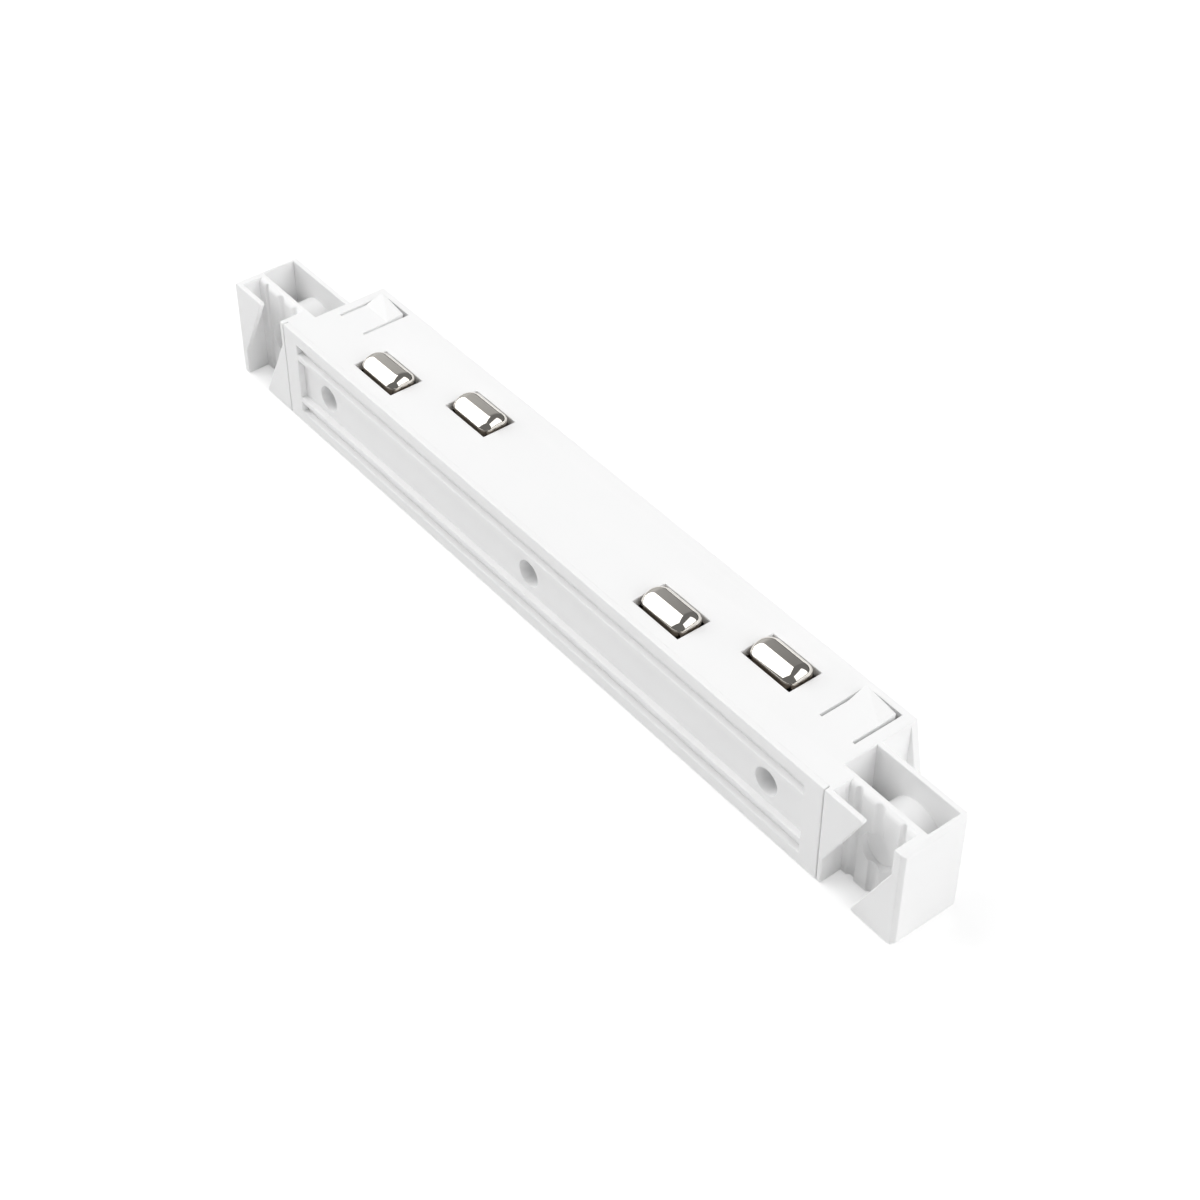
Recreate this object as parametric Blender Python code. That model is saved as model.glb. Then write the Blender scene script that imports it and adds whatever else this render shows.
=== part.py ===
# Straight connector for a low-voltage magnetic light track: a long moulded housing with a screwed-on
# front cover, two open end boxes with interlocking lugs, and four sprung contact pads in its top face.
# X runs along the track from the left end to the right end, Y from the front cover to the back, Z up.
# The origin is at the middle of the bottom face.

import math

import bmesh
import bpy
from mathutils import Matrix, Vector

MM = 0.001

# Main sizes
HEIGHT = 20.0 * MM
DEPTH = 20.9 * MM
COVER_LENGTH = 146.2 * MM
TOP_WALL = 1.8 * MM
FLOOR_WALL = 1.6 * MM
SIDE_WALL = 1.6 * MM
BACK_WALL = 1.3 * MM

# Clearances: at the cover's ends, between screwed-together faces, and between loose pieces
SEAM = 0.25 * MM
SEAT = 0.02 * MM
FIT = 0.3 * MM

# End boxes, measured outwards from the cover's ends
END_LENGTH = 16.9 * MM
END_DEPTH = 13.4 * MM
END_CHAMFER = 0.65 * MM
END_WALL_STAND = 1.0 * MM
BODY_SET_IN = 1.85 * MM
CHANNEL_END = 14.9 * MM
CHANNEL_DEPTH = 4.25 * MM
CAVITY_END = 15.7 * MM
CAVITY_FRONT = 5.9 * MM
CAVITY_BACK_WALL = 1.0 * MM
CHANNEL_EDGE_RADIUS = 1.1 * MM

# Grooves of the channel wall, as (distance out, width), and the round boss that crosses the end box
# behind it, with the shallow tapered dimple in its face
GROOVES = ((2.95 * MM, 1.7 * MM), (7.5 * MM, 2.3 * MM), (12.45 * MM, 1.3 * MM))
GROOVE_DEPTH = 0.55 * MM
END_BOSS_OUT = 7.75 * MM
END_BOSS_HEIGHT = 10.0 * MM
END_BOSS_RADIUS = 5.35 * MM
DIMPLE_MOUTH_RADIUS = 3.35 * MM
DIMPLE_FLOOR_RADIUS = 3.0 * MM
DIMPLE_DEPTH = 1.05 * MM

# Front lugs, one hooked down from the body and one hooked up from the end plate, and the rear lugs
LUG_THICKNESS = 1.0 * MM
NEAR_LUG_REACH = 8.05 * MM
FAR_LUG_REACH = 7.9 * MM
LUG_FOOT = 5.3 * MM
LUG_TIP_RADIUS = 0.4 * MM
REAR_LUG_THICKNESS = 1.4 * MM
REAR_LUG_REACH = 2.0 * MM
REAR_LUG_BLUNT = 0.5 * MM

# Latch tongues in the top wall. Their root and fold are measured from the back.
TONGUE_START = 3.85 * MM
TONGUE_WIDTH = 6.55 * MM
TONGUE_ROOT = 11.1 * MM
TONGUE_FOLD = 5.7 * MM
TONGUE_SLOT = 0.8 * MM
TONGUE_THICKNESS = 1.2 * MM
TONGUE_HIGH_TIP = 1.5 * MM
TONGUE_LOW_TIP = 0.35 * MM

# Contact windows: their places along and across the top face, and their size
WINDOW_LENGTH = 11.2 * MM
WINDOW_WIDTH = 6.7 * MM
OUTER_WINDOW = 23.9 * MM
INNER_WINDOW = 43.4 * MM
FRONT_LANE = 6.85 * MM
BACK_LANE = 12.8 * MM

# Contact pads and their springs
CONTACT_GAP = 0.3 * MM
CONTACT_RISE = 1.9 * MM
CONTACT_ROUND = 2.2 * MM
CONTACT_FOOT = 0.9 * MM
CONTACT_FOOT_LEDGE = 0.65 * MM
CORNER_STEPS = 6
SPRING_RADIUS = 1.6 * MM
SPRING_WIRE = 0.4 * MM
SPRING_SPACING = 5.1 * MM
SPRING_TURNS = 7
SPRING_END_PITCH = 0.46 * MM
SPRING_POCKET = 2.6 * MM

# Stamped busbars and the tray that carries them
BAR_WIDTH = 3.2 * MM
BAR_THICKNESS = 0.8 * MM
BAR_OVERHANG = 4.6 * MM
BEND_GAP = 1.0 * MM
TRAY_HIGH = 8.3 * MM
TRAY_LOW = 3.4 * MM
TRAY_SKIN = 1.4 * MM
TRAY_LEG = 2.8 * MM
TRAY_RIB = 1.3 * MM
TRAY_RIB_RISE = 1.8 * MM

# Front cover: its flange, the plate behind it, the recesses in its face and the screw wells
FLANGE = 1.1 * MM
PLUG_DEPTH = 2.6 * MM
RECESS_DEPTH = 1.2 * MM
RECESS_MARGIN = 4.13 * MM
RECESS_BANDS = ((15.4 * MM, 17.5 * MM), (5.65 * MM, 14.2 * MM), (2.4 * MM, 4.55 * MM))
SCREW_LEFT_INSET = 12.0 * MM
SCREW_RIGHT_INSET = 13.4 * MM
SCREW_HEIGHT = 9.5 * MM
WELL_RADIUS = 2.5 * MM
WELL_WALL = 1.2 * MM
WELL_DEPTH = 8.2 * MM
WELL_FLOOR = 1.2 * MM

# Self-tapping screws
HEAD_RADIUS = 2.1 * MM
HEAD_HEIGHT = 1.6 * MM
HEAD_CROWN = 0.7 * MM
HEAD_TOP_RADIUS = 1.15 * MM
SHANK_RADIUS = 1.1 * MM
SHANK_END_GAP = 2.4 * MM
SHANK_POINT = 2.2 * MM
SCREW_BOSS_WALL = 1.3 * MM
DRIVE_REACH = 1.25 * MM
DRIVE_WIDTH = 0.6 * MM
DRIVE_DEPTH = 0.8 * MM

# Places worked out from the sizes above
LEFT = -COVER_LENGTH / 2
FRONT = -DEPTH / 2
BACK = DEPTH / 2
BEYOND = 1.0 * MM
LAP = 0.4 * MM
WELD = 0.002 * MM
INNER_BACK = BACK - BACK_WALL
CEILING = HEIGHT - TOP_WALL
LANES = {"front": FRONT + FRONT_LANE, "back": FRONT + BACK_LANE}
CONTACTS = (
    (LEFT + OUTER_WINDOW, LANES["front"]),
    (LEFT + INNER_WINDOW, LANES["back"]),
    (-LEFT - INNER_WINDOW, LANES["front"]),
    (-LEFT - OUTER_WINDOW, LANES["back"]),
)
SCREWS = [LEFT + SCREW_LEFT_INSET, (SCREW_LEFT_INSET - SCREW_RIGHT_INSET) / 2, -LEFT - SCREW_RIGHT_INSET]
SHANK_END = INNER_BACK - SHANK_END_GAP
BAR_SEAT = TRAY_HIGH + FIT
BAR_TOP = BAR_SEAT + BAR_THICKNESS
FOOT_TOP = CEILING - FIT
FOOT_BOTTOM = FOOT_TOP - CONTACT_FOOT
POCKET_ROOF = FOOT_BOTTOM + SPRING_POCKET
CONTACT_TOP = HEIGHT + CONTACT_RISE


def clear_scene():
    for obj in list(bpy.data.objects):
        bpy.data.objects.remove(obj, do_unlink=True)


def material(name, colour, roughness, metallic=0.0):
    """A plain Principled BSDF material."""
    made = bpy.data.materials.new(name)
    made.use_nodes = True
    shader = made.node_tree.nodes["Principled BSDF"]
    shader.inputs["Base Color"].default_value = (*colour, 1.0)
    shader.inputs["Roughness"].default_value = roughness
    shader.inputs["Metallic"].default_value = metallic
    return made


def object_from(name, bm):
    """A new scene object with the faces of bm, turned outwards."""
    bmesh.ops.recalc_face_normals(bm, faces=bm.faces)
    mesh = bpy.data.meshes.new(name)
    bm.to_mesh(mesh)
    bm.free()
    obj = bpy.data.objects.new(name, mesh)
    bpy.context.scene.collection.objects.link(obj)
    return obj


def add_prism(bm, outline, axis, low, high):
    """Extrudes an outline of (a, b) points along axis: (x, y) along Z, (x, z) along Y, or (y, z) along X."""
    def place(a, b, along):
        return {"Z": (a, b, along), "Y": (a, along, b), "X": (along, a, b)}[axis]
    lower = [bm.verts.new(place(a, b, low)) for a, b in outline]
    upper = [bm.verts.new(place(a, b, high)) for a, b in outline]
    bm.faces.new(lower)
    bm.faces.new(upper)
    for i in range(len(outline)):
        j = (i + 1) % len(outline)
        bm.faces.new((lower[i], lower[j], upper[j], upper[i]))


def add_box(bm, x, y, z):
    add_prism(bm, [(x[0], y[0]), (x[1], y[0]), (x[1], y[1]), (x[0], y[1])], "Z", *z)


def add_turned(bm, profile, centre, direction, segments=32):
    """Turns (distance along the axis, radius) points, which start and end on the axis, about a line."""
    turn = Vector((0, 0, 1)).rotation_difference(Vector(direction)).to_matrix().to_4x4()
    place = Matrix.Translation(centre) @ turn
    rings = []
    for along, radius in profile:
        if radius == 0:
            rings.append([bm.verts.new(place @ Vector((0, 0, along)))])
            continue
        angles = [math.tau * (i + 0.5) / segments for i in range(segments)]
        spokes = [Vector((radius * math.cos(angle), radius * math.sin(angle), along)) for angle in angles]
        rings.append([bm.verts.new(place @ spoke) for spoke in spokes])
    for ring, following in zip(rings, rings[1:]):
        for i in range(segments):
            j = (i + 1) % segments
            if len(ring) == 1:
                bm.faces.new((ring[0], following[j], following[i]))
            elif len(following) == 1:
                bm.faces.new((ring[i], ring[j], following[0]))
            else:
                bm.faces.new((ring[i], ring[j], following[j], following[i]))


def add_rod(bm, centre, direction, radius, length, segments=32):
    add_turned(bm, [(0, 0), (0, radius), (length, radius), (length, 0)], centre, direction, segments)


def boolean(target, helper, operation):
    """Cuts the hidden helper out of target, or joins it on."""
    helper.hide_render = True
    helper.display_type = "WIRE"
    modifier = target.modifiers.new(helper.name, "BOOLEAN")
    modifier.operation = operation
    modifier.solver = "EXACT"
    modifier.object = helper


def finish(obj, look, smooth_angle=30):
    obj.data.materials.append(look)
    obj.data.shade_smooth()
    obj.data.set_sharp_from_angle(angle=math.radians(smooth_angle))
    return obj


def arc(centre, radius, start, stop, steps):
    """Points on an arc between two angles in degrees, both ends included."""
    for i in range(steps + 1):
        angle = math.radians(start + (stop - start) * i / steps)
        yield centre[0] + radius * math.cos(angle), centre[1] + radius * math.sin(angle)


def groove(centre, width, wall):
    """Outline points, left to right, of a round-bottomed groove sunk into a wall whose face is at y = wall."""
    steps = 8
    for i in range(steps + 1):
        share = i / steps
        yield centre + (share - 0.5) * width, wall + GROOVE_DEPTH * math.sin(math.pi * share) ** 0.6


def right_end_outline():
    """Plan outline of the right half, from the front edge at the seam round to the middle of the back."""
    seam = -LEFT
    outer = seam + END_LENGTH
    back = FRONT + END_DEPTH
    rear_lug = BACK - REAR_LUG_THICKNESS
    points = [(seam + SEAM / 2, FRONT + FLANGE + SEAT), (seam + SEAM / 2, FRONT), (outer - END_CHAMFER, FRONT)]
    points += [(outer, FRONT + END_CHAMFER), (outer, back - END_CHAMFER), (outer - END_CHAMFER, back)]
    points += [(seam - BODY_SET_IN, back), (seam - BODY_SET_IN, rear_lug)]
    points += [(seam + REAR_LUG_REACH, rear_lug), (seam + REAR_LUG_REACH, BACK)]
    return points


def channel_outline():
    """Plan outline of the right channel between the front lugs and its grooved wall."""
    seam = -LEFT
    wall = FRONT + CHANNEL_DEPTH
    near, far = seam + END_WALL_STAND, seam + CHANNEL_END
    points = [(near, FRONT + LUG_THICKNESS), (near, wall)]
    for out, width in GROOVES:
        points.extend(groove(seam + out, width, wall))
    return points + [(far, wall), (far, FRONT + LUG_THICKNESS)]


def lug_gap_outline():
    """Outline in (x, z) of the gap between the right front lugs: one on the body, one on the end plate."""
    seam = -LEFT
    near, far = seam + END_WALL_STAND, seam + CHANNEL_END
    near_tip, far_tip = seam + NEAR_LUG_REACH + LUG_TIP_RADIUS, seam + FAR_LUG_REACH - LUG_TIP_RADIUS
    near_arc = list(rounded_corner((near, LUG_FOOT), (near_tip, HEIGHT), (near, HEIGHT), LUG_TIP_RADIUS))
    far_arc = list(rounded_corner((far, HEIGHT - LUG_FOOT), (far_tip, 0), (far, 0), LUG_TIP_RADIUS))
    points = [(near, -BEYOND), (near, LUG_FOOT), *near_arc[:-1], (near_arc[-2][0], HEIGHT + BEYOND)]
    points += [(far, HEIGHT + BEYOND), (far, HEIGHT - LUG_FOOT), *far_arc[:-1], (far_arc[-2][0], -BEYOND)]
    return points


def mirrored(points, sign):
    return [(sign * x, other) for x, other in points]


def half_turned(points, sign):
    """Outline points in (x, z), turned about the horizontal line through mid height for the other end."""
    return [(sign * x, z if sign > 0 else HEIGHT - z) for x, z in points]


def rounded_corner(before, corner, after, radius, steps=6):
    """Points of a small arc that takes the place of a corner."""
    a, b, c = Vector(before), Vector(corner), Vector(after)
    to_a, to_c = (a - b).normalized(), (c - b).normalized()
    half = to_a.angle(to_c) / 2
    centre = b + (to_a + to_c).normalized() * radius / math.sin(half)
    first = b + to_a * radius / math.tan(half)
    last = b + to_c * radius / math.tan(half)
    yield tuple(first)
    for i in range(1, steps):
        point = first.lerp(last, i / steps) - centre
        yield tuple(centre + point.normalized() * radius)
    yield tuple(last)


def build_housing(look):
    seam = -LEFT
    right = right_end_outline()
    outline = right + [(-x, y) for x, y in reversed(right)]
    bm = bmesh.new()
    add_prism(bm, outline, "Z", 0, HEIGHT)
    housing = object_from("housing", bm)

    # Room inside the body, open at the front, and the two end boxes, open above and below
    bm = bmesh.new()
    inner_end = seam - BODY_SET_IN - SIDE_WALL
    add_box(bm, (-inner_end, inner_end), (FRONT - BEYOND, INNER_BACK), (FLOOR_WALL, CEILING))
    cavity = (FRONT + CAVITY_FRONT, FRONT + END_DEPTH - CAVITY_BACK_WALL)
    for sign in (1, -1):
        ends = sorted((sign * (seam - BODY_SET_IN), sign * (seam + CAVITY_END)))
        add_box(bm, ends, cavity, (-BEYOND, HEIGHT + BEYOND))
    boolean(housing, object_from("housing_room", bm), "DIFFERENCE")

    # Channels behind the front lugs, the gaps between those lugs, and the slanted edges of the rear lugs
    bm = bmesh.new()
    for sign in (1, -1):
        add_prism(bm, mirrored(channel_outline(), sign), "Z", -BEYOND, HEIGHT + BEYOND)
    boolean(housing, object_from("end_channels", bm), "DIFFERENCE")
    bm = bmesh.new()
    for sign in (1, -1):
        into_channel = FRONT + (LUG_THICKNESS + CHANNEL_DEPTH) / 2
        add_prism(bm, half_turned(lug_gap_outline(), sign), "Y", FRONT - BEYOND, into_channel)
    boolean(housing, object_from("lug_gaps", bm), "DIFFERENCE")
    bm = bmesh.new()
    body_end, reach = seam - BODY_SET_IN, seam + REAR_LUG_REACH
    slant = [(body_end, HEIGHT - REAR_LUG_BLUNT), (reach, REAR_LUG_BLUNT), (reach + BEYOND, REAR_LUG_BLUNT)]
    slant += [(reach + BEYOND, HEIGHT + BEYOND), (body_end, HEIGHT + BEYOND)]
    behind_box = (FRONT + END_DEPTH + BACK - REAR_LUG_THICKNESS) / 2
    for sign in (1, -1):
        add_prism(bm, mirrored(slant, sign), "Y", behind_box, BACK + BEYOND)
    boolean(housing, object_from("rear_lug_slants", bm), "DIFFERENCE")

    # Chamfers along the top and bottom of the end plates, and the rounded top edge of the channel wall
    bm = bmesh.new()
    for sign in (1, -1):
        outer = seam + END_LENGTH
        for edge, inwards in ((0, 1), (HEIGHT, -1)):
            wedge = [(outer - END_CHAMFER - BEYOND, edge - inwards * BEYOND)]
            wedge.append((outer + BEYOND, edge - inwards * BEYOND))
            wedge.append((outer + BEYOND, edge + inwards * (END_CHAMFER + BEYOND)))
            add_prism(bm, mirrored(wedge, sign), "Y", FRONT - BEYOND, BACK + BEYOND)
        wall = FRONT + CHANNEL_DEPTH
        centre = (wall + CHANNEL_EDGE_RADIUS, HEIGHT - CHANNEL_EDGE_RADIUS)
        edge = [(wall - CHANNEL_EDGE_RADIUS, HEIGHT - CHANNEL_EDGE_RADIUS)]
        edge += arc(centre, CHANNEL_EDGE_RADIUS, 180, 90, 6)
        edge += [(centre[0], HEIGHT + BEYOND), (wall - CHANNEL_EDGE_RADIUS, HEIGHT + BEYOND)]
        ends = sorted((sign * (seam + END_WALL_STAND), sign * (seam + CHANNEL_END)))
        add_prism(bm, edge, "X", *ends)
    boolean(housing, object_from("housing_edges", bm), "DIFFERENCE")

    # Round bosses that cross the end boxes, the screw bosses and the tongues' catches
    bm = bmesh.new()
    for sign in (1, -1):
        centre = (sign * (seam + END_BOSS_OUT), FRONT + CAVITY_FRONT - LAP, END_BOSS_HEIGHT)
        add_rod(bm, centre, (0, 1, 0), END_BOSS_RADIUS, cavity[1] - cavity[0] + 2 * LAP, 40)
    boss_front = FRONT + WELL_DEPTH + WELL_FLOOR + FIT
    for x in SCREWS:
        add_rod(bm, (x, boss_front, SCREW_HEIGHT), (0, 1, 0), SHANK_RADIUS + FIT + SCREW_BOSS_WALL,
                INNER_BACK + LAP - boss_front, 24)
    for low in tongue_starts():
        add_catch(bm, low + TONGUE_SLOT / 2, low + TONGUE_WIDTH + 1.5 * TONGUE_SLOT)
    boolean(housing, object_from("housing_bosses", bm), "UNION")

    # Dimples in the end bosses' faces, pilot holes, windows and the slots round the tongues
    bm = bmesh.new()
    taper = (DIMPLE_MOUTH_RADIUS - DIMPLE_FLOOR_RADIUS) / DIMPLE_DEPTH
    for sign in (1, -1):
        mouth = (sign * (seam + END_BOSS_OUT), FRONT + CHANNEL_DEPTH, END_BOSS_HEIGHT)
        dimple = [(-BEYOND, 0), (-BEYOND, DIMPLE_MOUTH_RADIUS + taper * BEYOND)]
        dimple += [(DIMPLE_DEPTH, DIMPLE_FLOOR_RADIUS), (DIMPLE_DEPTH, 0)]
        add_turned(bm, dimple, mouth, (0, 1, 0), 40)
    for x in SCREWS:
        start = boss_front - BEYOND
        add_rod(bm, (x, start, SCREW_HEIGHT), (0, 1, 0), SHANK_RADIUS + FIT, SHANK_END + FIT - start, 16)
    for x, y in CONTACTS:
        half = (WINDOW_LENGTH / 2, WINDOW_WIDTH / 2)
        add_box(bm, (x - half[0], x + half[0]), (y - half[1], y + half[1]), (CEILING - BEYOND, HEIGHT + BEYOND))
    for low in tongue_starts():
        high = low + TONGUE_WIDTH + 2 * TONGUE_SLOT
        root, end = BACK - TONGUE_ROOT, INNER_BACK
        slot = [(low, root), (low + TONGUE_SLOT, root), (low + TONGUE_SLOT, end - TONGUE_SLOT)]
        slot += [(high - TONGUE_SLOT, end - TONGUE_SLOT), (high - TONGUE_SLOT, root)]
        slot += [(high, root), (high, end), (low, end)]
        add_prism(bm, slot, "Z", CEILING - BEYOND, HEIGHT + TONGUE_HIGH_TIP + BEYOND)
    boolean(housing, object_from("housing_openings", bm), "DIFFERENCE")

    # The tongues are thinner than the wall round them
    bm = bmesh.new()
    for low in tongue_starts():
        across = (low + TONGUE_SLOT / 2, low + TONGUE_WIDTH + 1.5 * TONGUE_SLOT)
        along = (BACK - TONGUE_ROOT, INNER_BACK - TONGUE_SLOT / 2)
        add_box(bm, across, along, (CEILING - BEYOND, HEIGHT - TONGUE_THICKNESS))
    boolean(housing, object_from("tongue_room", bm), "DIFFERENCE")
    weld = housing.modifiers.new("weld", "WELD")
    weld.merge_threshold = WELD

    return finish(housing, look)


def tongue_starts():
    """Left edge of each tongue's slot. The two tongues are alike, not mirrored."""
    return LEFT + TONGUE_START, -LEFT - TONGUE_START - TONGUE_WIDTH - 2 * TONGUE_SLOT


def add_catch(bm, low, high):
    """Ramped catch on a tongue's tip, which rises towards one corner. The tongue's slots trim its sides."""
    fold, end = BACK - TONGUE_FOLD, INNER_BACK - TONGUE_SLOT / 2
    sunk = HEIGHT - TONGUE_THICKNESS / 2
    corners = [(low, fold), (high, fold), (high, end), (low, end)]
    tops = (HEIGHT, HEIGHT, HEIGHT + TONGUE_LOW_TIP, HEIGHT + TONGUE_HIGH_TIP)
    below = [bm.verts.new((x, y, sunk)) for x, y in corners]
    above = [bm.verts.new((x, y, top)) for (x, y), top in zip(corners, tops)]
    bm.faces.new(below)
    bm.faces.new((above[0], above[1], above[3]))
    bm.faces.new((above[1], above[2], above[3]))
    for i in range(4):
        bm.faces.new((below[i], below[(i + 1) % 4], above[(i + 1) % 4], above[i]))


def build_front_cover(look):
    """Flange that closes the open front, with a plate behind it, shallow recesses and three screw wells."""
    bm = bmesh.new()
    half = COVER_LENGTH / 2 - SEAM / 2
    add_box(bm, (-half, half), (FRONT, FRONT + FLANGE), (0, HEIGHT))
    cover = object_from("front_cover", bm)

    bm = bmesh.new()
    plug = COVER_LENGTH / 2 - BODY_SET_IN - SIDE_WALL - FIT
    lap = FLANGE / 2
    add_box(bm, (-plug, plug), (FRONT + lap, FRONT + PLUG_DEPTH), (FLOOR_WALL + FIT, CEILING - FIT))
    boolean(cover, object_from("cover_plug", bm), "UNION")

    bm = bmesh.new()
    for x in SCREWS:
        length = WELL_DEPTH + WELL_FLOOR - RECESS_DEPTH - lap
        add_rod(bm, (x, FRONT + RECESS_DEPTH + lap, SCREW_HEIGHT), (0, 1, 0), WELL_RADIUS + WELL_WALL, length)
    boolean(cover, object_from("cover_wells", bm), "UNION")

    bm = bmesh.new()
    reach = COVER_LENGTH / 2 - RECESS_MARGIN
    for low, high in RECESS_BANDS:
        add_box(bm, (-reach, reach), (FRONT - BEYOND, FRONT + RECESS_DEPTH), (low, high))
    boolean(cover, object_from("cover_recesses", bm), "DIFFERENCE")

    bm = bmesh.new()
    floor = WELL_DEPTH + BEYOND
    through = floor + WELL_FLOOR + BEYOND
    hole = SHANK_RADIUS + FIT
    steps = [(0, 0), (0, WELL_RADIUS), (floor, WELL_RADIUS), (floor, hole), (through, hole), (through, 0)]
    for x in SCREWS:
        add_turned(bm, steps, (x, FRONT - BEYOND, SCREW_HEIGHT), (0, 1, 0))
    boolean(cover, object_from("cover_holes", bm), "DIFFERENCE")
    return finish(cover, look)


def build_screw(name, x, look):
    """Pan-head self-tapping screw with a cross drive, seated on the floor of its well."""
    seat = FRONT + WELL_DEPTH - SEAT
    bm = bmesh.new()
    profile = [(-HEAD_HEIGHT, 0)]
    for along, out in arc((0, 0), 1, 0, 90, 5):
        radius = HEAD_TOP_RADIUS + (HEAD_RADIUS - HEAD_TOP_RADIUS) * out
        profile.append((-HEAD_HEIGHT + HEAD_CROWN * (1 - along), radius))
    length = SHANK_END - seat
    profile += [(0, HEAD_RADIUS), (0, SHANK_RADIUS), (length - SHANK_POINT, SHANK_RADIUS), (length, 0)]
    add_turned(bm, profile, (x, seat, SCREW_HEIGHT), (0, 1, 0), 24)
    screw = object_from(name, bm)
    bm = bmesh.new()
    depth = (seat - HEAD_HEIGHT - BEYOND, seat - HEAD_HEIGHT + DRIVE_DEPTH)
    half = DRIVE_WIDTH / 2
    cross = [(half, half), (DRIVE_REACH, half), (DRIVE_REACH, -half)]
    plan = []
    for quarter in range(4):
        angle = -math.pi / 2 * quarter
        for a, b in cross:
            plan.append((x + a * math.cos(angle) - b * math.sin(angle),
                         SCREW_HEIGHT + a * math.sin(angle) + b * math.cos(angle)))
    add_prism(bm, plan, "Y", *depth)
    boolean(screw, object_from(name + "_drive", bm), "DIFFERENCE")
    return finish(screw, look)


def build_contact(name, x, y, look):
    """Round-shouldered pad with a foot that catches under the window's ends and two pockets for its springs."""
    half = (WINDOW_LENGTH / 2 - CONTACT_GAP, WINDOW_WIDTH / 2 - CONTACT_GAP)
    straight = (half[0] - CONTACT_ROUND, half[1] - CONTACT_ROUND)
    shoulder = CONTACT_TOP - CONTACT_ROUND
    sections = [(CONTACT_ROUND, FOOT_BOTTOM + CONTACT_FOOT / 2), *arc((0, shoulder), CONTACT_ROUND, 0, 75, 5)]
    bm = bmesh.new()
    rings = []
    for radius, height in sections:
        ring = []
        for quarter, (sx, sy) in enumerate(((1, 1), (-1, 1), (-1, -1), (1, -1))):
            corner = (x + sx * straight[0], y + sy * straight[1])
            around = arc(corner, radius, 90 * quarter, 90 * quarter + 90, CORNER_STEPS)
            ring.append([bm.verts.new((a, b, height)) for a, b in around])
        rings.append(ring)
    for ring, following in zip(rings, rings[1:]):
        lower, upper = sum(ring, []), sum(following, [])
        for i in range(len(lower)):
            j = (i + 1) % len(lower)
            bm.faces.new((lower[i], lower[j], upper[j], upper[i]))
    bm.faces.new(sum(rings[0], []))
    crown = [bm.verts.new((x + sx * straight[0], y + sy * straight[1], CONTACT_TOP))
             for sx, sy in ((1, 1), (-1, 1), (-1, -1), (1, -1))]
    bm.faces.new(crown)
    for quarter, corner in enumerate(rings[-1]):
        for a, b in zip(corner, corner[1:]):
            bm.faces.new((a, b, crown[quarter]))
        after = rings[-1][(quarter + 1) % 4]
        bm.faces.new((corner[-1], after[0], crown[(quarter + 1) % 4], crown[quarter]))
    contact = object_from(name, bm)

    bm = bmesh.new()
    reach, side = half[0] + CONTACT_FOOT_LEDGE, half[1] - FIT
    add_box(bm, (x - reach, x + reach), (y - side, y + side), (FOOT_BOTTOM, FOOT_TOP))
    boolean(contact, object_from(name + "_foot", bm), "UNION")

    bm = bmesh.new()
    pocket = SPRING_RADIUS + FIT
    for side in (-0.5, 0.5):
        centre = (x + side * SPRING_SPACING, y, FOOT_BOTTOM - BEYOND)
        add_rod(bm, centre, (0, 0, 1), pocket, SPRING_POCKET + BEYOND, 24)
    boolean(contact, object_from(name + "_pockets", bm), "DIFFERENCE")
    return finish(contact, look)


def build_spring(name, x, y, look):
    """Compression spring, with closed end turns, between a busbar and the roof of a contact's pocket."""
    low = BAR_TOP + FIT + SPRING_WIRE / 2
    high = POCKET_ROOF - FIT - SPRING_WIRE / 2
    centre_radius = SPRING_RADIUS - SPRING_WIRE / 2
    around, sides = 12, 5
    steps = SPRING_TURNS * around
    free_pitch = (high - low - 2 * SPRING_END_PITCH) / (SPRING_TURNS - 2)
    bm = bmesh.new()
    rings = []
    for i in range(steps + 1):
        turns = i / around
        middle = min(max(turns - 1, 0), SPRING_TURNS - 2)
        ends = turns - middle
        height = low + ends * SPRING_END_PITCH + middle * free_pitch
        angle = math.tau * turns
        out = Vector((math.cos(angle), math.sin(angle), 0))
        centre = Vector((x, y, height)) + out * centre_radius
        ring = []
        for k in range(sides):
            tilt = math.tau * k / sides
            spoke = out * math.cos(tilt) + Vector((0, 0, math.sin(tilt)))
            ring.append(bm.verts.new(centre + spoke * SPRING_WIRE / 2))
        rings.append(ring)
    bm.faces.new(rings[0])
    bm.faces.new(rings[-1])
    for ring, following in zip(rings, rings[1:]):
        for k in range(sides):
            j = (k + 1) % sides
            bm.faces.new((ring[k], ring[j], following[j], following[k]))
    return finish(object_from(name, bm), look, 60)


def step_profile(start, stop, high, low):
    """Top line of the tray or of a bar in (x, z): high at both ends and lowered between the two bends."""
    middle, drop = SCREWS[1], high - low
    reach = WELL_RADIUS + WELL_WALL + BEND_GAP
    return [(start, high), (middle - reach - drop, high), (middle - reach, low), (middle + reach, low),
            (middle + reach + drop, high), (stop, high)]


def build_busbar(name, start, stop, y, look):
    """Stamped strip under one lane of contacts, bent down in the middle to pass below the screw well."""
    top = step_profile(start, stop, BAR_TOP, TRAY_LOW + FIT + BAR_THICKNESS)
    under = [(x, z - BAR_THICKNESS) for x, z in reversed(top)]
    bm = bmesh.new()
    add_prism(bm, top + under, "Y", y - BAR_WIDTH / 2, y + BAR_WIDTH / 2)
    return finish(object_from(name, bm), look)


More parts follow.
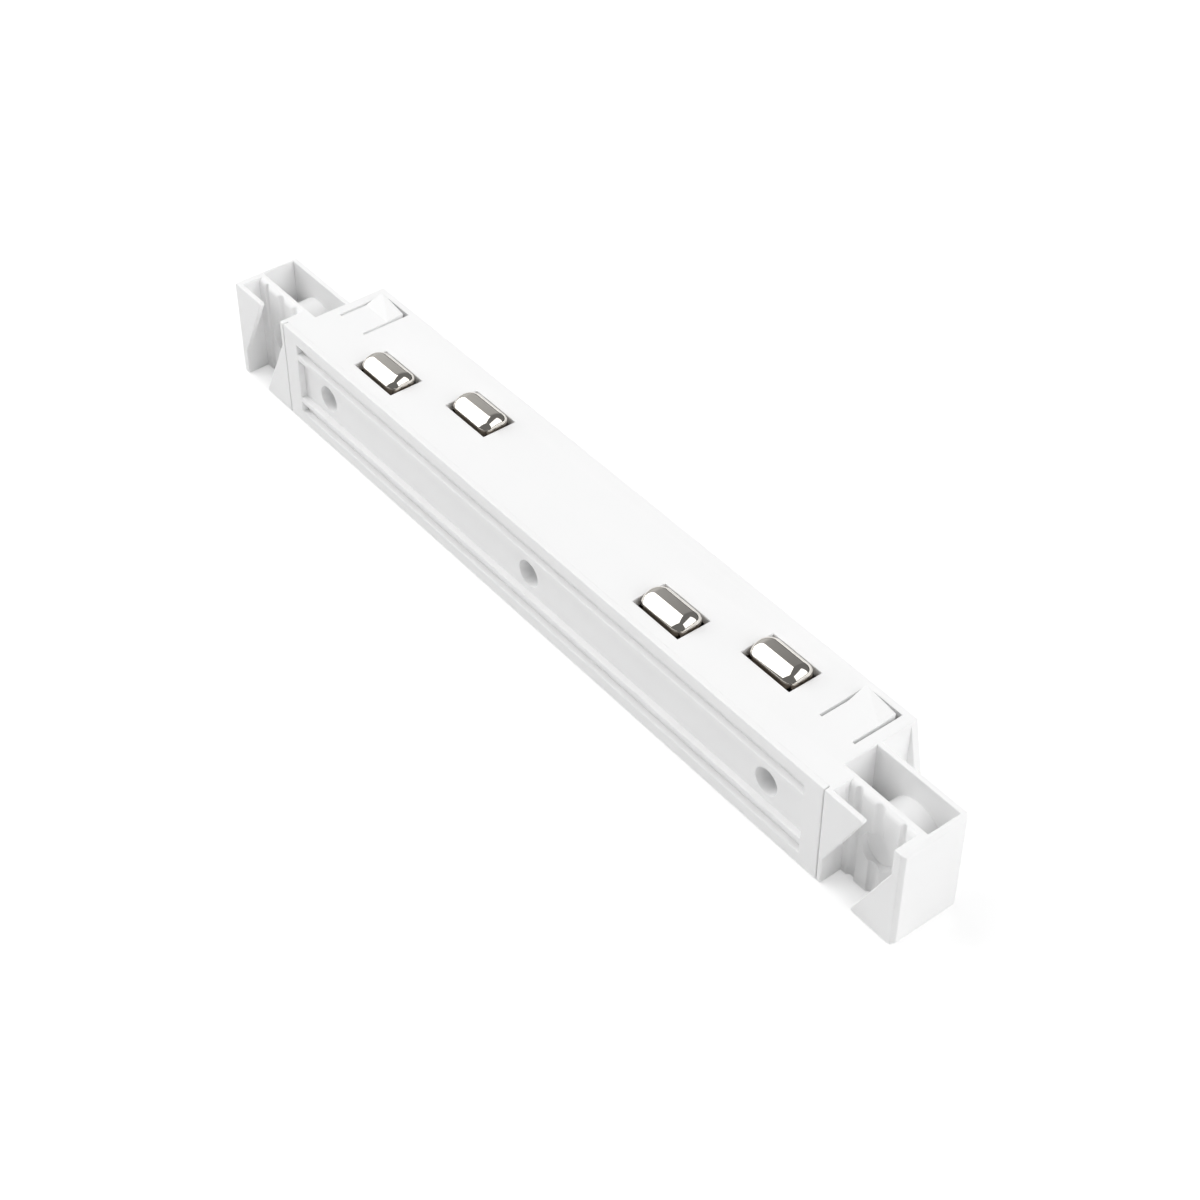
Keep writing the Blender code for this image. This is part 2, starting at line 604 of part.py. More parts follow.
def build_tray(look):
    """Insulating tray on the housing's floor: a stepped deck on legs, with ribs that keep the bars apart."""
    beside_well = WELL_RADIUS + WELL_WALL + FIT
    start, end = SCREWS[0] + beside_well, SCREWS[2] - beside_well
    deck = step_profile(start, end, TRAY_HIGH, TRAY_LOW)
    under = [(x, max(z - TRAY_SKIN, FLOOR_WALL + FIT)) for x, z in deck]
    floor = FLOOR_WALL + FIT
    outline = list(deck) + [(end, floor), (end - TRAY_LEG, floor), (end - TRAY_LEG, under[-1][1])]
    outline += [under[4], under[3], under[2], under[1]]
    outline += [(start + TRAY_LEG, under[0][1]), (start + TRAY_LEG, floor), (start, floor)]
    bm = bmesh.new()
    front, back = FRONT + PLUG_DEPTH + FIT, INNER_BACK - FIT
    add_prism(bm, outline, "Y", front, back)
    tray = object_from("contact_tray", bm)

    bm = bmesh.new()
    ribs = step_profile(start, end, TRAY_HIGH + TRAY_RIB_RISE, TRAY_LOW + TRAY_RIB_RISE)
    sunk = [(x, z - TRAY_SKIN / 2) for x, z in reversed(deck)]
    middle = (LANES["front"] + LANES["back"]) / 2
    walls = [(front, front + TRAY_RIB), (middle - TRAY_RIB / 2, middle + TRAY_RIB / 2), (back - TRAY_RIB, back)]
    for low, high in walls:
        add_prism(bm, ribs + sunk, "Y", low, high)
    boolean(tray, object_from("tray_ribs", bm), "UNION")
    return finish(tray, look)


clear_scene()
white = material("white_plastic", (0.80, 0.80, 0.80), 0.45)
cover_white = material("cover_plastic", (0.79, 0.79, 0.79), 0.45)
tray_grey = material("tray_plastic", (0.55, 0.55, 0.54), 0.5)
nickel = material("polished_nickel", (0.78, 0.74, 0.68), 0.08, 1.0)
brass = material("brass", (0.78, 0.57, 0.27), 0.3, 1.0)
steel = material("zinc_plated_steel", (0.62, 0.63, 0.65), 0.35, 1.0)
spring_steel = material("spring_steel", (0.45, 0.45, 0.46), 0.3, 1.0)

build_housing(white)
build_front_cover(cover_white)
build_tray(tray_grey)
lane_ends = {}
for number, (contact_x, contact_y) in enumerate(CONTACTS, 1):
    build_contact(f"contact_{number}", contact_x, contact_y, nickel)
    for letter, side in (("a", -0.5), ("b", 0.5)):
        build_spring(f"spring_{number}{letter}", contact_x + side * SPRING_SPACING, contact_y, spring_steel)
    lane_ends.setdefault(contact_y, []).append(contact_x)
for name, (lane, ends) in zip(("front_busbar", "back_busbar"), lane_ends.items()):
    build_busbar(name, min(ends) - BAR_OVERHANG, max(ends) + BAR_OVERHANG, lane, brass)
for number, screw_x in enumerate(SCREWS, 1):
    build_screw(f"cover_screw_{number}", screw_x, steel)
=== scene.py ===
# Straight connector for a magnetic light track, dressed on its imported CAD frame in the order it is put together.

import math

import bmesh
import bpy
from mathutils import Matrix, Vector


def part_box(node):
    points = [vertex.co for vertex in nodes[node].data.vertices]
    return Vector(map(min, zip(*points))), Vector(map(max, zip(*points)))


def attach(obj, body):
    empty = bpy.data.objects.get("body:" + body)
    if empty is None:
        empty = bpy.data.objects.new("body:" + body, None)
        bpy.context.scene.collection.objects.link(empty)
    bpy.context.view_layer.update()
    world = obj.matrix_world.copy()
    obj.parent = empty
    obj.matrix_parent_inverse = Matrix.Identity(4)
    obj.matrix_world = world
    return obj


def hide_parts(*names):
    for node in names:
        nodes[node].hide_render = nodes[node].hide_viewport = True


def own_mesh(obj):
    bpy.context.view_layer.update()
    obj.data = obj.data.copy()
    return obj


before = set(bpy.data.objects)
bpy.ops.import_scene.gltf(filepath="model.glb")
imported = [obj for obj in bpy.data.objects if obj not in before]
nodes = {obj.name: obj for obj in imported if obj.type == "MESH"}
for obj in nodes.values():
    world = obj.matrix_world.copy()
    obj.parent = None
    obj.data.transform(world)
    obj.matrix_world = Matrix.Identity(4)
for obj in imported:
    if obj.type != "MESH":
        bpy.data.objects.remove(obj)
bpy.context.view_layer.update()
scene = bpy.context.scene
scene.view_settings.view_transform = "Standard"


# Housing: the long white body with its two open end boxes, hook lugs and latch tongues. It is one injection
# moulding in satin white polycarbonate. The tool leaves a small round on its outer edges, but none at the
# cover's seam, the slots round the tongues and the dimples in the end bosses.

HOUSING_EDGE_ROUND = 0.00015
HOUSING_WHITE = 0.95
HOUSING_GRAIN = 2600.0
FLOW_SCALE = 45.0
FLOW_SPREAD = 0.006
GLOSS_SCALE = 130.0
SATIN_ROUGHNESS = (0.38, 0.46)
SATIN_SPECULAR = 0.3
GRAIN_STRENGTH = 0.12
GRAIN_DEPTH = 0.00001
COVER_FLANGE = 0.0011
SEAM_REACH = 0.00006
MERGE_DISTANCE = 0.00002
CORNER_ANGLE = 35
CREASE_ANGLE = 11
EDGE_STEPS = 2
TOP_FACE = 0.020
TONGUE_INNER = 0.0619
TONGUE_WIDTH = 0.00655
TONGUE_SLOT = 0.0008
TONGUE_FRONT = -0.0040
TONGUE_BACK = 0.0096
SLOT_CLOSED = 0.0001
SLOT_REACH = 0.003
DIMPLE_OUT = 0.08085
DIMPLE_HEIGHT = 0.010
DIMPLE_HALF = 0.0034
DIMPLE_FRONT = -0.0072
DIMPLE_BACK = -0.0054


def new_finish(name):
    """A node material, with its tree, its shader and the Object coordinates that its patterns read."""
    finish = bpy.data.materials.new(name)
    finish.use_nodes = True
    tree = finish.node_tree
    coords = tree.nodes.new("ShaderNodeTexCoord")
    return finish, tree, tree.nodes["Principled BSDF"], coords.outputs["Object"]


def ranged(tree, value, low, high, start, end):
    """Spreads a value from low to high over the span from start to end, and holds it there beyond them."""
    spread = tree.nodes.new("ShaderNodeMapRange")
    for socket, level in (("From Min", low), ("From Max", high), ("To Min", start), ("To Max", end)):
        spread.inputs[socket].default_value = level
    tree.links.new(value, spread.inputs["Value"])
    return spread.outputs["Result"]


def mottle(tree, vector, scale, detail, low, high):
    """Soft cloudy noise, its grey levels spread between low and high."""
    cloud = tree.nodes.new("ShaderNodeTexNoise")
    cloud.inputs["Scale"].default_value = scale
    cloud.inputs["Detail"].default_value = detail
    tree.links.new(vector, cloud.inputs["Vector"])
    return ranged(tree, cloud.outputs["Fac"], 0.3, 0.7, low, high)


def texture_bump(tree, shader, height, strength, depth):
    """Raises the surface by a fine height pattern."""
    bump = tree.nodes.new("ShaderNodeBump")
    bump.inputs["Strength"].default_value = strength
    bump.inputs["Distance"].default_value = depth
    tree.links.new(height, bump.inputs["Height"])
    tree.links.new(bump.outputs["Normal"], shader.inputs["Normal"])


def satin_moulding(name, white, grain):
    """Satin moulded plastic: faint flow clouding, a slightly uneven gloss and a fine spark-eroded grain."""
    finish, tree, shader, place = new_finish(name)
    level = mottle(tree, place, FLOW_SCALE, 3.0, white - FLOW_SPREAD, white + FLOW_SPREAD)
    shade = tree.nodes.new("ShaderNodeCombineColor")
    for channel in ("Red", "Green", "Blue"):
        tree.links.new(level, shade.inputs[channel])
    tree.links.new(shade.outputs["Color"], shader.inputs["Base Color"])
    tree.links.new(mottle(tree, place, GLOSS_SCALE, 2.0, *SATIN_ROUGHNESS), shader.inputs["Roughness"])
    shader.inputs["Specular IOR Level"].default_value = SATIN_SPECULAR
    texture_bump(tree, shader, mottle(tree, place, grain, 2.0, 0.0, 1.0), GRAIN_STRENGTH, GRAIN_DEPTH)
    return finish


def inside(place, box):
    """Whether a point lies in a box."""
    return all(box[0][axis] < place[axis] < box[1][axis] for axis in range(3))


def eased_copy(node, piece_name, edge_round, finish, sharp_boxes=(), walls_moved=()):
    """A merged copy of a CAD node with its outer edges rounded, except those that lie in a box kept sharp.

    A wall whose points lie in a given box is first moved along X by a small distance."""
    bm = bmesh.new()
    bm.from_mesh(nodes[node].data)
    bmesh.ops.remove_doubles(bm, verts=bm.verts, dist=MERGE_DISTANCE)
    bmesh.ops.dissolve_limit(bm, angle_limit=math.radians(1.0), verts=bm.verts, edges=bm.edges)
    for box, shift in walls_moved:
        for vert in bm.verts:
            if inside(vert.co, box):
                vert.co.x += shift
    rounded = []
    for edge in bm.edges:
        kept_sharp = any(all(inside(vert.co, box) for vert in edge.verts) for box in sharp_boxes)
        if edge.is_convex and edge.calc_face_angle() >= math.radians(CORNER_ANGLE) and not kept_sharp:
            rounded.append(edge)
    bmesh.ops.bevel(bm, geom=rounded, offset=edge_round, offset_type="OFFSET", segments=EDGE_STEPS, profile=0.5,
                    affect="EDGES", clamp_overlap=False)
    mesh = bpy.data.meshes.new(piece_name)
    bm.to_mesh(mesh)
    bm.free()
    mesh.shade_smooth()
    mesh.set_sharp_from_angle(angle=math.radians(CREASE_ANGLE))
    mesh.materials.append(finish)
    piece = bpy.data.objects.new(piece_name, mesh)
    scene.collection.objects.link(piece)
    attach(piece, "connector_body")
    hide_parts(node)
    return piece


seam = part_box("front_cover")[0].y + COVER_FLANGE
seam_box = ((-1, seam - SEAM_REACH, -1), (1, seam + SEAM_REACH, 1))
tongue_outer = TONGUE_INNER + TONGUE_WIDTH
slot_edges = ((TONGUE_INNER - TONGUE_SLOT, SLOT_CLOSED), (TONGUE_INNER, -SLOT_CLOSED),
              (tongue_outer, SLOT_CLOSED), (tongue_outer + TONGUE_SLOT, -SLOT_CLOSED))
sharp_boxes = [seam_box]
slot_walls = []
for side in (-1, 1):
    dimple = side * DIMPLE_OUT
    sharp_boxes.append(((dimple - DIMPLE_HALF, DIMPLE_FRONT, DIMPLE_HEIGHT - DIMPLE_HALF),
                        (dimple + DIMPLE_HALF, DIMPLE_BACK, DIMPLE_HEIGHT + DIMPLE_HALF)))
    near, far = sorted((side * (TONGUE_INNER - TONGUE_SLOT), side * (tongue_outer + TONGUE_SLOT)))
    sharp_boxes.append(((near - SEAM_REACH, TONGUE_FRONT, TOP_FACE - SEAM_REACH),
                        (far + SEAM_REACH, TONGUE_BACK, TOP_FACE + SEAM_REACH)))
    for wall, shift in slot_edges:
        wall_box = ((side * wall - SEAM_REACH, TONGUE_FRONT, TOP_FACE - SLOT_REACH),
                    (side * wall + SEAM_REACH, TONGUE_BACK, TOP_FACE + SLOT_REACH))
        slot_walls.append((wall_box, side * shift))
housing_finish = satin_moulding("satin_white_moulding", HOUSING_WHITE, HOUSING_GRAIN)
housing = eased_copy("housing", "housing_moulding", HOUSING_EDGE_ROUND, housing_finish, sharp_boxes, slot_walls)


# Contact tray: the insulating deck on legs that stands on the housing's floor under the contacts.
# It is a grey nylon moulding, and its ribs keep the two current bars apart.

TRAY_EDGE_ROUND = 0.00008
TRAY_GREY = (0.50, 0.51, 0.50)
TRAY_DARKER = tuple(level * 0.92 for level in TRAY_GREY)
TRAY_ROUGHNESS = (0.48, 0.58)


def mixed(tree, factor, first, second):
    """A colour between two others, by a factor from 0 to 1."""
    blend = tree.nodes.new("ShaderNodeMix")
    blend.data_type = "RGBA"
    blend.inputs["A"].default_value = (*first, 1)
    blend.inputs["B"].default_value = (*second, 1)
    tree.links.new(factor, blend.inputs["Factor"])
    return blend.outputs["Result"]


tray_finish, tree, shader, place = new_finish("grey_nylon")
clouds = mottle(tree, place, 90.0, 3.0, 0.0, 1.0)
tree.links.new(mixed(tree, clouds, TRAY_GREY, TRAY_DARKER), shader.inputs["Base Color"])
tree.links.new(mottle(tree, place, 240.0, 2.0, *TRAY_ROUGHNESS), shader.inputs["Roughness"])
texture_bump(tree, shader, mottle(tree, place, 1900.0, 2.0, 0.0, 1.0), 0.2, GRAIN_DEPTH)
tray = eased_copy("contact_tray", "tray_moulding", TRAY_EDGE_ROUND, tray_finish)


# Current bars: two flat brass strips, one under each lane of contacts, that lie between the tray's ribs.
# They are stamped, and bent down in the middle to pass below the centre screw.

BAR_EDGE_ROUND = 0.00006
FRESH_BRASS = (0.80, 0.60, 0.30)
DULL_BRASS = (0.62, 0.44, 0.20)
BRASS_CLOUDS = (140.0, 4.0, 0.0, 0.8)
BRASS_ROUGHNESS = (0.24, 0.38)
ROLLING_SCALE = (60.0, 2600.0, 2600.0)


def clouded_metal(name, cloud, first, second):
    """A metal whose colour drifts in soft clouds between two tones."""
    finish, tree, shader, place = new_finish(name)
    shader.inputs["Metallic"].default_value = 1.0
    tone = mixed(tree, mottle(tree, place, *cloud), first, second)
    tree.links.new(tone, shader.inputs["Base Color"])
    return finish, tree, shader, place, tone


bar_finish, tree, shader, place, tone = clouded_metal("rolled_brass", BRASS_CLOUDS, FRESH_BRASS, DULL_BRASS)
stretch = tree.nodes.new("ShaderNodeMapping")
stretch.inputs["Scale"].default_value = ROLLING_SCALE
tree.links.new(place, stretch.inputs["Vector"])
rolling = mottle(tree, stretch.outputs["Vector"], 1.0, 2.0, 0.0, 1.0)
tree.links.new(mottle(tree, stretch.outputs["Vector"], 1.0, 2.0, *BRASS_ROUGHNESS), shader.inputs["Roughness"])
texture_bump(tree, shader, rolling, 0.15, 0.000004)
for lane in ("front", "back"):
    bar = eased_copy(f"{lane}_busbar", f"{lane}_current_bar", BAR_EDGE_ROUND, bar_finish)


# Springs: two wound steel coils under each contact, with closed end turns. They stand on the current bar,
# reach up into the contact's pockets, and shorten as it is pressed down.

COIL_RADIUS = 0.0014
WIRE_RADIUS = 0.0002
COIL_TURNS = 7
END_PITCH = 0.00046
COIL_SPACING = 0.0051
STEPS_PER_TURN = 24
WIRE_SIDES = 10
BRIGHT_WIRE = (0.50, 0.50, 0.51)
DULL_WIRE = (0.38, 0.38, 0.40)
WIRE_CLOUDS = (700.0, 3.0, 0.0, 1.0)
WIRE_ROUGHNESS = (0.24, 0.36)


def sized_tree(name, sizes):
    """A Geometry Nodes tree with a finish and named sizes as its inputs, and the node that gives them."""
    tree = bpy.data.node_groups.new(name, "GeometryNodeTree")
    tree.interface.new_socket("Geometry", in_out="INPUT", socket_type="NodeSocketGeometry")
    tree.interface.new_socket("Finish", in_out="INPUT", socket_type="NodeSocketMaterial")
    for size in sizes:
        tree.interface.new_socket(size, in_out="INPUT", socket_type="NodeSocketFloat")
    tree.interface.new_socket("Geometry", in_out="OUTPUT", socket_type="NodeSocketGeometry")
    return tree, tree.nodes.new("NodeGroupInput").outputs


def worked_out(tree, operation, *terms):
    """The result of one sum on sockets or numbers."""
    sum_node = tree.nodes.new("ShaderNodeMath")
    sum_node.operation = operation
    for socket, term in zip(sum_node.inputs, terms):
        if isinstance(term, (int, float)):
            socket.default_value = term
        else:
            tree.links.new(term, socket)
    return sum_node.outputs[0]


def along_axis(tree, start, end, points):
    """A line up the Z axis with evenly spread points, and how far along it each one is, from 0 to 1."""
    line = tree.nodes.new("GeometryNodeCurvePrimitiveLine")
    for socket, level in (("Start", start), ("End", end)):
        spot = tree.nodes.new("ShaderNodeCombineXYZ")
        if isinstance(level, (int, float)):
            spot.inputs["Z"].default_value = level
        else:
            tree.links.new(level, spot.inputs["Z"])
        tree.links.new(spot.outputs[0], line.inputs[socket])
    spread = tree.nodes.new("GeometryNodeResampleCurve")
    spread.inputs["Count"].default_value = points
    tree.links.new(line.outputs[0], spread.inputs["Curve"])
    return spread.outputs[0], tree.nodes.new("GeometryNodeSplineParameter").outputs["Factor"]


def wound(tree, curve, turns, radius, height):
    """Winds a curve's points round the Z axis."""
    angle = worked_out(tree, "MULTIPLY", turns, math.tau)
    spot = tree.nodes.new("ShaderNodeCombineXYZ")
    tree.links.new(worked_out(tree, "MULTIPLY", worked_out(tree, "COSINE", angle), radius), spot.inputs["X"])
    tree.links.new(worked_out(tree, "MULTIPLY", worked_out(tree, "SINE", angle), radius), spot.inputs["Y"])
    tree.links.new(height, spot.inputs["Z"])
    moved = tree.nodes.new("GeometryNodeSetPosition")
    tree.links.new(curve, moved.inputs["Geometry"])
    tree.links.new(spot.outputs[0], moved.inputs["Position"])
    upright = tree.nodes.new("GeometryNodeSetCurveNormal")
    upright.mode = "Z_UP"
    tree.links.new(moved.outputs[0], upright.inputs["Curve"])
    return upright.outputs[0]


def swept(tree, path, profile, scale=None):
    """Sweeps a closed profile along a path, capped at both ends."""
    sweep = tree.nodes.new("GeometryNodeCurveToMesh")
    sweep.inputs["Fill Caps"].default_value = True
    tree.links.new(path, sweep.inputs["Curve"])
    tree.links.new(profile, sweep.inputs["Profile Curve"])
    if scale is not None:
        tree.links.new(scale, sweep.inputs["Scale"])
    return sweep.outputs[0]


def ring_profile(tree, radius, sides):
    """A regular closed outline, such as a wire's section."""
    ring = tree.nodes.new("GeometryNodeCurvePrimitiveCircle")
    ring.inputs["Resolution"].default_value = sides
    if isinstance(radius, (int, float)):
        ring.inputs["Radius"].default_value = radius
    else:
        tree.links.new(radius, ring.inputs["Radius"])
    return ring.outputs[0]


def row_of(tree, piece, count, spacing, sizes):
    """Sets a piece out in a row along X about the middle, as real faces with its finish, and ends the tree."""
    offset = tree.nodes.new("ShaderNodeCombineXYZ")
    tree.links.new(spacing, offset.inputs["X"])
    start = tree.nodes.new("ShaderNodeCombineXYZ")
    tree.links.new(worked_out(tree, "MULTIPLY", spacing, -(count - 1) / 2), start.inputs["X"])
    line = tree.nodes.new("GeometryNodeMeshLine")
    line.inputs["Count"].default_value = count
    tree.links.new(start.outputs[0], line.inputs["Start Location"])
    tree.links.new(offset.outputs[0], line.inputs["Offset"])
    placed = tree.nodes.new("GeometryNodeInstanceOnPoints")
    tree.links.new(line.outputs[0], placed.inputs["Points"])
    tree.links.new(piece, placed.inputs["Instance"])
    real = tree.nodes.new("GeometryNodeRealizeInstances")
    tree.links.new(placed.outputs[0], real.inputs[0])
    dressed = tree.nodes.new("GeometryNodeSetMaterial")
    tree.links.new(real.outputs[0], dressed.inputs["Geometry"])
    tree.links.new(sizes["Finish"], dressed.inputs["Material"])
    tree.links.new(dressed.outputs[0], tree.nodes.new("NodeGroupOutput").inputs[0])


def made_from(tree, piece_name, finish, sizes, place, smooth_angle):
    """Runs a tree with its sizes and leaves a plain mesh at its place."""
    holder = bpy.data.objects.new("holder", bpy.data.meshes.new("holder"))
    scene.collection.objects.link(holder)
    run = holder.modifiers.new("run", "NODES")
    run.node_group = tree
    for socket in tree.interface.items_tree:
        if socket.in_out == "INPUT" and socket.name == "Finish":
            run[socket.identifier] = finish
        elif socket.in_out == "INPUT" and socket.name in sizes:
            run[socket.identifier] = sizes[socket.name]
    graph = bpy.context.evaluated_depsgraph_get()
    mesh = bpy.data.meshes.new_from_object(holder.evaluated_get(graph))
    holder.modifiers.remove(run)
    bpy.data.objects.remove(holder)
    mesh.transform(place)
    mesh.name = piece_name
    mesh.shade_smooth()
    mesh.set_sharp_from_angle(angle=math.radians(smooth_angle))
    piece = bpy.data.objects.new(piece_name, mesh)
    scene.collection.objects.link(piece)
    return piece


wire_finish, tree, shader, place, tone = clouded_metal("drawn_spring_wire", WIRE_CLOUDS, BRIGHT_WIRE, DULL_WIRE)
tree.links.new(mottle(tree, place, 1500.0, 2.0, *WIRE_ROUGHNESS), shader.inputs["Roughness"])

COIL_SIZES = ("Coil Radius", "Wire Radius", "Turns", "Height", "End Pitch", "Spacing")
coil_tree, sizes = sized_tree("coil_pair", COIL_SIZES)
axis_line, share = along_axis(coil_tree, 0.0, 1.0, COIL_TURNS * STEPS_PER_TURN + 1)
turns = worked_out(coil_tree, "MULTIPLY", share, sizes["Turns"])
open_turns = worked_out(coil_tree, "SUBTRACT", sizes["Turns"], 2.0)
middle = worked_out(coil_tree, "MAXIMUM", worked_out(coil_tree, "SUBTRACT", turns, 1.0), 0.0)
middle = worked_out(coil_tree, "MINIMUM", middle, open_turns)
ends = worked_out(coil_tree, "SUBTRACT", turns, middle)
both_ends = worked_out(coil_tree, "MULTIPLY", sizes["End Pitch"], 2.0)
open_height = worked_out(coil_tree, "SUBTRACT", sizes["Height"], both_ends)
open_pitch = worked_out(coil_tree, "DIVIDE", open_height, open_turns)
rise = worked_out(coil_tree, "MULTIPLY", ends, sizes["End Pitch"])
rise = worked_out(coil_tree, "ADD", rise, worked_out(coil_tree, "MULTIPLY", middle, open_pitch))
helix = wound(coil_tree, axis_line, turns, sizes["Coil Radius"], rise)
wire = swept(coil_tree, helix, ring_profile(coil_tree, sizes["Wire Radius"], WIRE_SIDES))
row_of(coil_tree, wire, 2, sizes["Spacing"], sizes)

for number in (1, 2, 3, 4):
    first_low, first_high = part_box(f"spring_{number}a")
    second_low, second_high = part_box(f"spring_{number}b")
    foot = Vector(((first_low.x + second_high.x) / 2, (first_low.y + first_high.y) / 2, first_low.z))
    length = first_high.z - first_low.z
    coil_sizes = {"Coil Radius": COIL_RADIUS, "Wire Radius": WIRE_RADIUS, "Turns": float(COIL_TURNS),
                  "Height": length - 2 * WIRE_RADIUS, "End Pitch": END_PITCH, "Spacing": COIL_SPACING}
    seat = Matrix.Translation(foot + Vector((0, 0, WIRE_RADIUS)))
    coils = made_from(coil_tree, f"contact_{number}_springs", wire_finish, coil_sizes, seat, 60)
    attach(coils, "connector_body")
    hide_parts(f"spring_{number}a", f"spring_{number}b")
    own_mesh(coils)


# Contacts: four polished pads with a crowned top and rounded ends, cold-headed in brass and nickel-plated.
# They come up through the windows, and a foot at each end catches under the top wall.

PAD_HALF_LENGTH = 0.0053
PAD_HALF_WIDTH = 0.00285
PAD_CROWN_ANGLE = 54.0
PAD_EDGE_ROUND = 0.00025
PAD_END_ROUND = 0.0020
PAD_END_DROP = 0.0014
PAD_CROWN_STEPS = 24
PAD_END_STEPS = 12
PAD_SIDE_STEPS = 4
PAD_CREASE_ANGLE = 40
END_LEFT_OPEN = 0.998
SHADE_PAINT_LEVEL = 0.0201
FOOT_REACH = 0.00595
FOOT_HALF_WIDTH = 0.00275
FOOT_THICKNESS = 0.0009
POCKET_RADIUS = 0.0019
POCKET_DEPTH = 0.0026
POCKET_SIDES = 40
BRIGHT_NICKEL = (0.81, 0.78, 0.73)
DULL_NICKEL = (0.78, 0.745, 0.69)
# Dark brown painted on the pads' sides below a set height, as painted shade and reflection, with the fade over which
# it comes in.
PAINTED_SHADE_NICKEL = (0.36, 0.31, 0.26)
PAINTED_SHADE_FADE = 0.0002
NICKEL_CLOUDS = (220.0, 3.0, 0.0, 1.0)
NICKEL_ROUGHNESS = (0.02, 0.06)

nickel_finish, tree, shader, place, tone = clouded_metal("polished_nickel_plate", NICKEL_CLOUDS,
                                                         BRIGHT_NICKEL, DULL_NICKEL)
# Painted shade and reflection: below the top wall's level the nickel is blended into a dark brown, standing in for
# the dark gap round the pad that the polished metal mirrors.
split = tree.nodes.new("ShaderNodeSeparateXYZ")
tree.links.new(place, split.inputs[0])
painted_shade_mask = ranged(tree, split.outputs["Z"], SHADE_PAINT_LEVEL + PAINTED_SHADE_FADE, SHADE_PAINT_LEVEL - PAINTED_SHADE_FADE, 0.0, 1.0)
painted_shade_mix = tree.nodes.new("ShaderNodeMix")
painted_shade_mix.data_type = "RGBA"
painted_shade_mix.inputs["B"].default_value = (*PAINTED_SHADE_NICKEL, 1)
tree.links.new(tone, painted_shade_mix.inputs["A"])
tree.links.new(painted_shade_mask, painted_shade_mix.inputs["Factor"])
tree.links.new(painted_shade_mix.outputs["Result"], shader.inputs["Base Color"])
tree.links.new(mottle(tree, place, 420.0, 2.0, *NICKEL_ROUGHNESS), shader.inputs["Roughness"])


def pad_section(bm, along, centre, top, foot, inset):
    """One arched cross-section of a pad, drawn in evenly by an inset, as it is where the end rounds over."""
    edge = math.radians(PAD_CROWN_ANGLE)
    crown_radius = (PAD_HALF_WIDTH - PAD_EDGE_ROUND * (1 - math.sin(edge))) / math.sin(edge)
    leans = [edge * step / PAD_CROWN_STEPS for step in range(PAD_CROWN_STEPS + 1)]
    half = [(crown_radius * math.sin(lean), lean, crown_radius * (1 - math.cos(lean))) for lean in leans]
    out, drop = half[-1][0] - PAD_EDGE_ROUND * math.sin(edge), half[-1][2] + PAD_EDGE_ROUND * math.cos(edge)
    for step in range(1, PAD_SIDE_STEPS + 1):
        lean = edge + (math.pi / 2 - edge) * step / PAD_SIDE_STEPS
        half.append((out + PAD_EDGE_ROUND * math.sin(lean), lean, drop - PAD_EDGE_ROUND * math.cos(lean)))
    points = []
    for side in (-1, 1):
        for out, lean, drop in (reversed(half) if side < 0 else half[1:]):
            fall = inset * PAD_END_DROP / PAD_END_ROUND
            points.append((side * (out - inset * math.sin(lean)), top - drop - fall * math.cos(lean)))
    points = [(points[0][0], foot), *points, (points[-1][0], foot)]
    return [bm.verts.new((along, centre.y + out, height)) for out, height in points]


def cut_or_joined(piece, helper_bm, operation):
    """Cuts a shape out of a piece, or joins it on."""
    bmesh.ops.recalc_face_normals(helper_bm, faces=helper_bm.faces)
    mesh = bpy.data.meshes.new("helper")
    helper_bm.to_mesh(mesh)
    helper_bm.free()
    helper = bpy.data.objects.new("helper", mesh)
    scene.collection.objects.link(helper)
    step = piece.modifiers.new("step", "BOOLEAN")
    step.operation = operation
    step.solver = "EXACT"
    step.object = helper
    graph = bpy.context.evaluated_depsgraph_get()
    result = bpy.data.meshes.new_from_object(piece.evaluated_get(graph))
    piece.modifiers.remove(step)
    piece.data = result
    bpy.data.objects.remove(helper)


